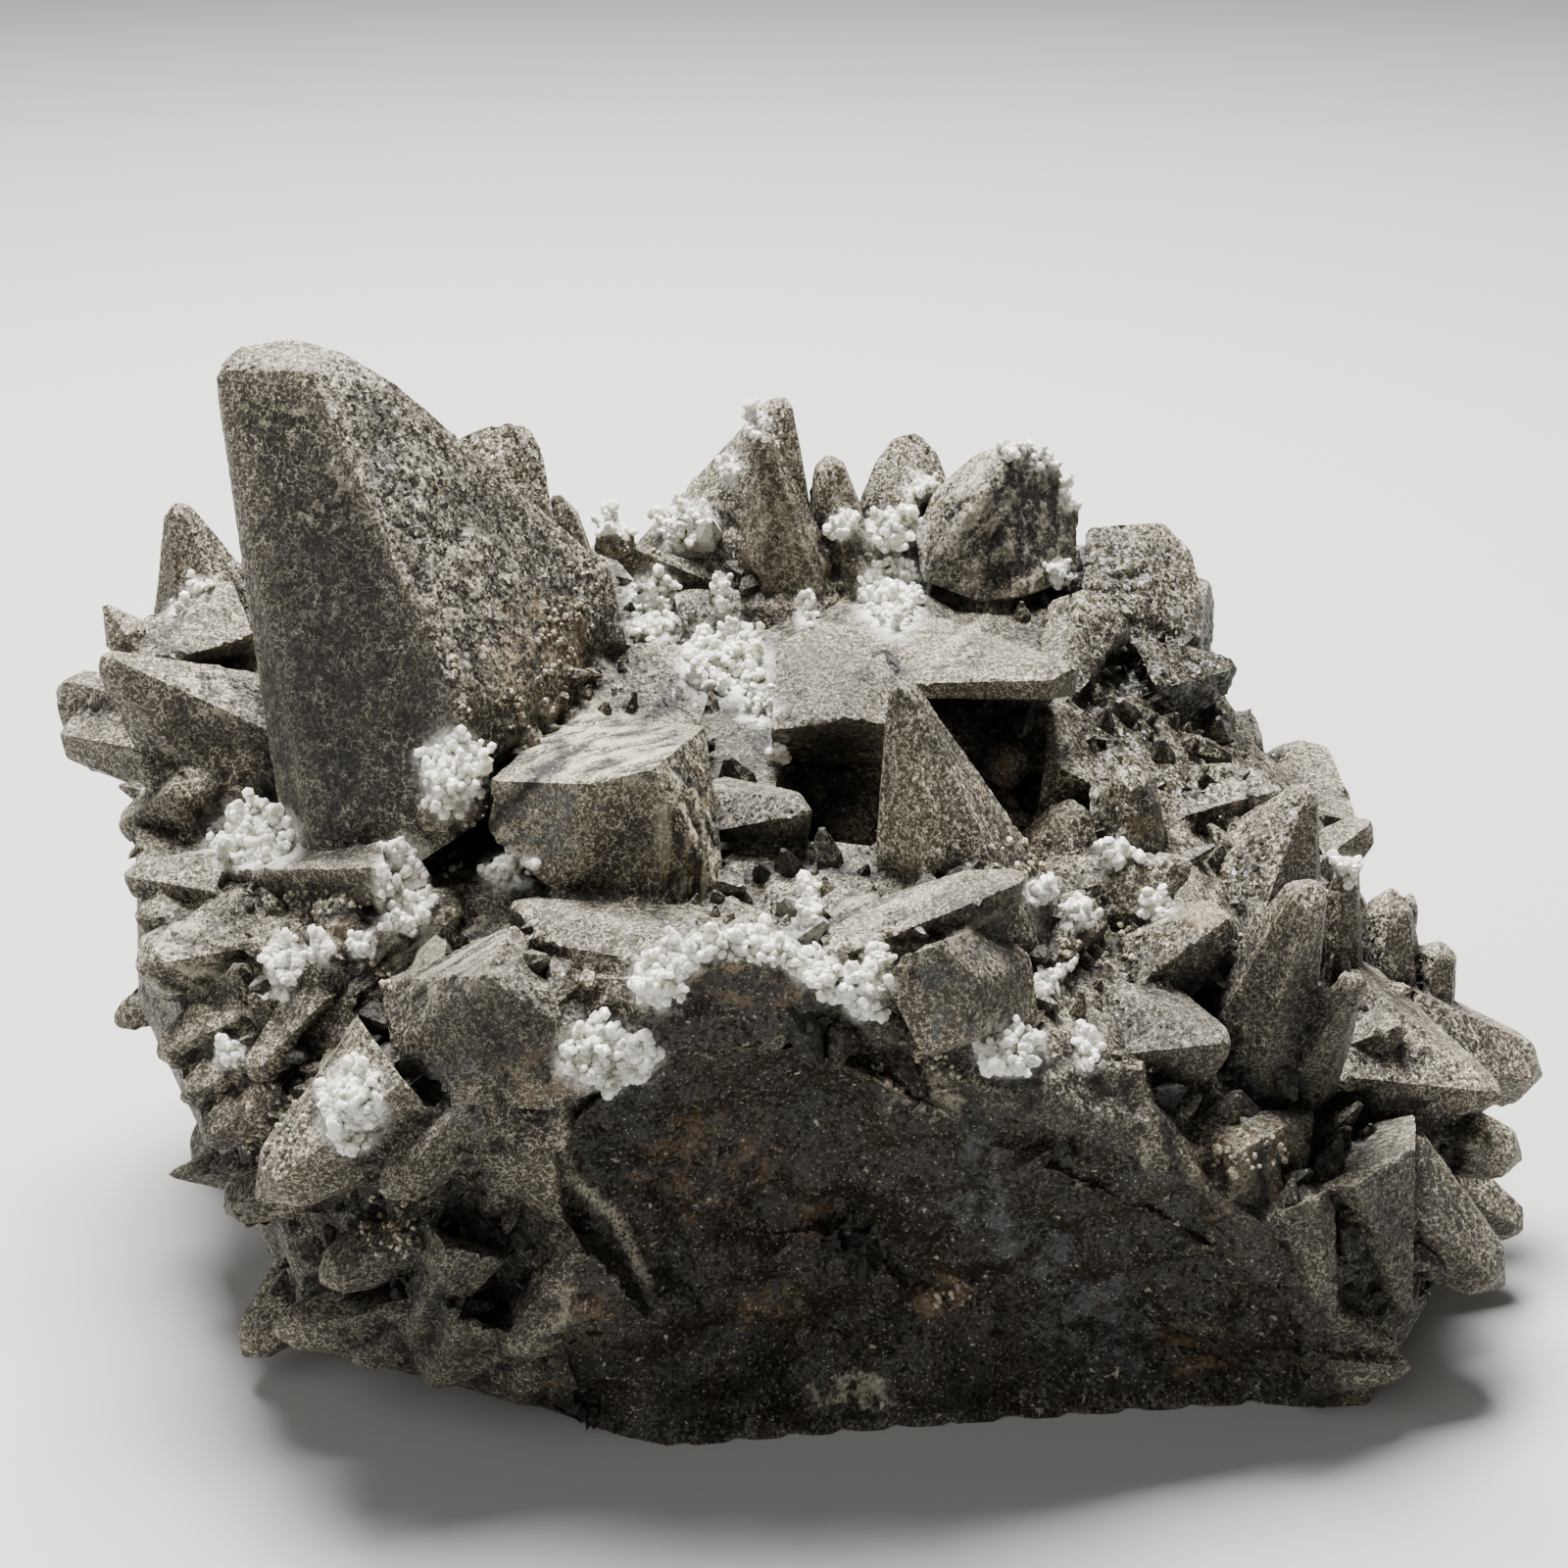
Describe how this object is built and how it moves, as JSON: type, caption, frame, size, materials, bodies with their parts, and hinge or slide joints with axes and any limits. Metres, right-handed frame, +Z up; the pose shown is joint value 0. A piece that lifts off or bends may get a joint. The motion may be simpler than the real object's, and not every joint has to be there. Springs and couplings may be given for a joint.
{
  "type": "mineral specimen",
  "caption": "Hand-sized dogtooth calcite cluster: grey-brown pointed crystals with white sugary calcite on a dark broken matrix",
  "frame": {"origin": "middle of the flat broken foot, on the surface it stands on", "axes": "+X to the specimen's right as seen from the broken front, which is its longest extent; +Y to the back; +Z up, away from the foot"},
  "size_m": [0.1002, 0.0698, 0.0617],
  "materials": {
    "calcite": "satin"
  },
  "bodies": {
    "root": {"calcite_cluster": "calcite"}
  },
  "joints": []
}
